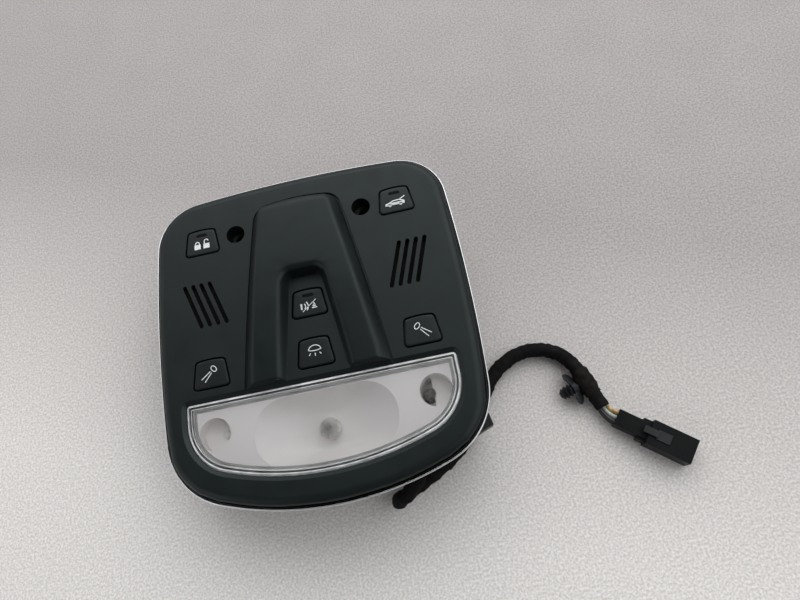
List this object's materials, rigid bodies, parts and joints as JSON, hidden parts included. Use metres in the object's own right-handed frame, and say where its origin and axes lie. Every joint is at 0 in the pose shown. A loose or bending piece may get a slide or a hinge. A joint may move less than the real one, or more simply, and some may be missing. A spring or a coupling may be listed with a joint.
{
  "type": "overhead console with dome and reading lamps",
  "caption": "Black overhead console panel with clear D-shaped lamp lens, push buttons, raised bridge, microphone grilles, bright trim ring, rear housing and taped harness with plug.",
  "frame": {"origin": "middle of the panel, on the flat back of the rear housing", "axes": "+Z out of the face, +Y towards the windscreen edge with the fixing screws, +X to the right as the face is seen with the lens at the bottom"},
  "size_m": [0.2405, 0.1739, 0.0517],
  "materials": {
    "panel_black": "fine grain, matte",
    "chrome": "bright plated",
    "clear": "clear, gloss",
    "lamp_white": "white, satin",
    "housing_black": "matte",
    "board": "solder mask",
    "connector_white": "natural",
    "metal": "zinc plated",
    "rubber_black": "matte",
    "mesh_black": "woven",
    "button_black": "satin",
    "window_amber": "smoked",
    "tape": "cloth tape",
    "clip_grey": "moulded nylon",
    "wire_yellow": "insulation",
    "wire_white": "insulation",
    "wire_black": "insulation",
    "plug_black": "satin"
  },
  "bodies": {
    "console": {"face_panel": "panel_black", "trim_ring": "chrome", "lens": "clear", "reflector": "lamp_white", "dome_bulb": "clear", "dome_bulb_holder": "housing_black", "reading_bulb_left": "clear", "reading_bulb_right": "clear", "reading_bulb_holder_left": "housing_black", "reading_bulb_holder_right": "housing_black", "circuit_board": "board", "board_connector": "connector_white", "inner_lead": "tape", "microphone_left": "metal", "microphone_right": "metal", "microphone_boot_left": "rubber_black", "microphone_boot_right": "rubber_black", "grille_mesh_left": "mesh_black", "grille_mesh_right": "mesh_black", "rear_housing": "housing_black", "housing_screws": "metal", "switch_lock": "housing_black", "switch_tailgate": "housing_black", "switch_parking": "housing_black", "switch_dome": "housing_black", "switch_reading_left": "housing_black", "switch_reading_right": "housing_black", "harness_gland": "rubber_black", "harness": "tape", "harness_clip": "clip_grey", "wire_yellow": "wire_yellow", "wire_white": "wire_white", "wire_black": "wire_black", "plug_body": "plug_black", "plug_latch": "clip_grey"},
    "lock_button": {"button_lock": "button_black", "window_lock": "window_amber", "plunger_lock": "connector_white"},
    "tailgate_button": {"button_tailgate": "button_black", "window_tailgate": "window_amber", "plunger_tailgate": "connector_white"},
    "parking_button": {"button_parking": "button_black", "window_parking": "window_amber", "plunger_parking": "connector_white"},
    "dome_button": {"button_dome": "button_black", "plunger_dome": "connector_white"},
    "reading_left_button": {"button_reading_left": "button_black", "plunger_reading_left": "connector_white"},
    "reading_right_button": {"button_reading_right": "button_black", "plunger_reading_right": "connector_white"}
  },
  "joints": [
    {"name": "lock_press", "type": "slide", "parent": "console", "child": "lock_button", "axis": [0, 0, -1], "range_m": [0, 0.0012], "stiffness_N_per_m": 500, "springref_m": -0.002},
    {"name": "tailgate_press", "type": "slide", "parent": "console", "child": "tailgate_button", "axis": [0, 0, -1], "range_m": [0, 0.0012], "stiffness_N_per_m": 500, "springref_m": -0.002},
    {"name": "parking_press", "type": "slide", "parent": "console", "child": "parking_button", "axis": [0, 0, -1], "range_m": [0, 0.0012], "stiffness_N_per_m": 500, "springref_m": -0.002},
    {"name": "dome_press", "type": "slide", "parent": "console", "child": "dome_button", "axis": [0, 0, -1], "range_m": [0, 0.0012], "stiffness_N_per_m": 500, "springref_m": -0.002},
    {"name": "reading_left_press", "type": "slide", "parent": "console", "child": "reading_left_button", "axis": [0, 0, -1], "range_m": [0, 0.0012], "stiffness_N_per_m": 500, "springref_m": -0.002},
    {"name": "reading_right_press", "type": "slide", "parent": "console", "child": "reading_right_button", "axis": [0, 0, -1], "range_m": [0, 0.0012], "stiffness_N_per_m": 500, "springref_m": -0.002}
  ]
}
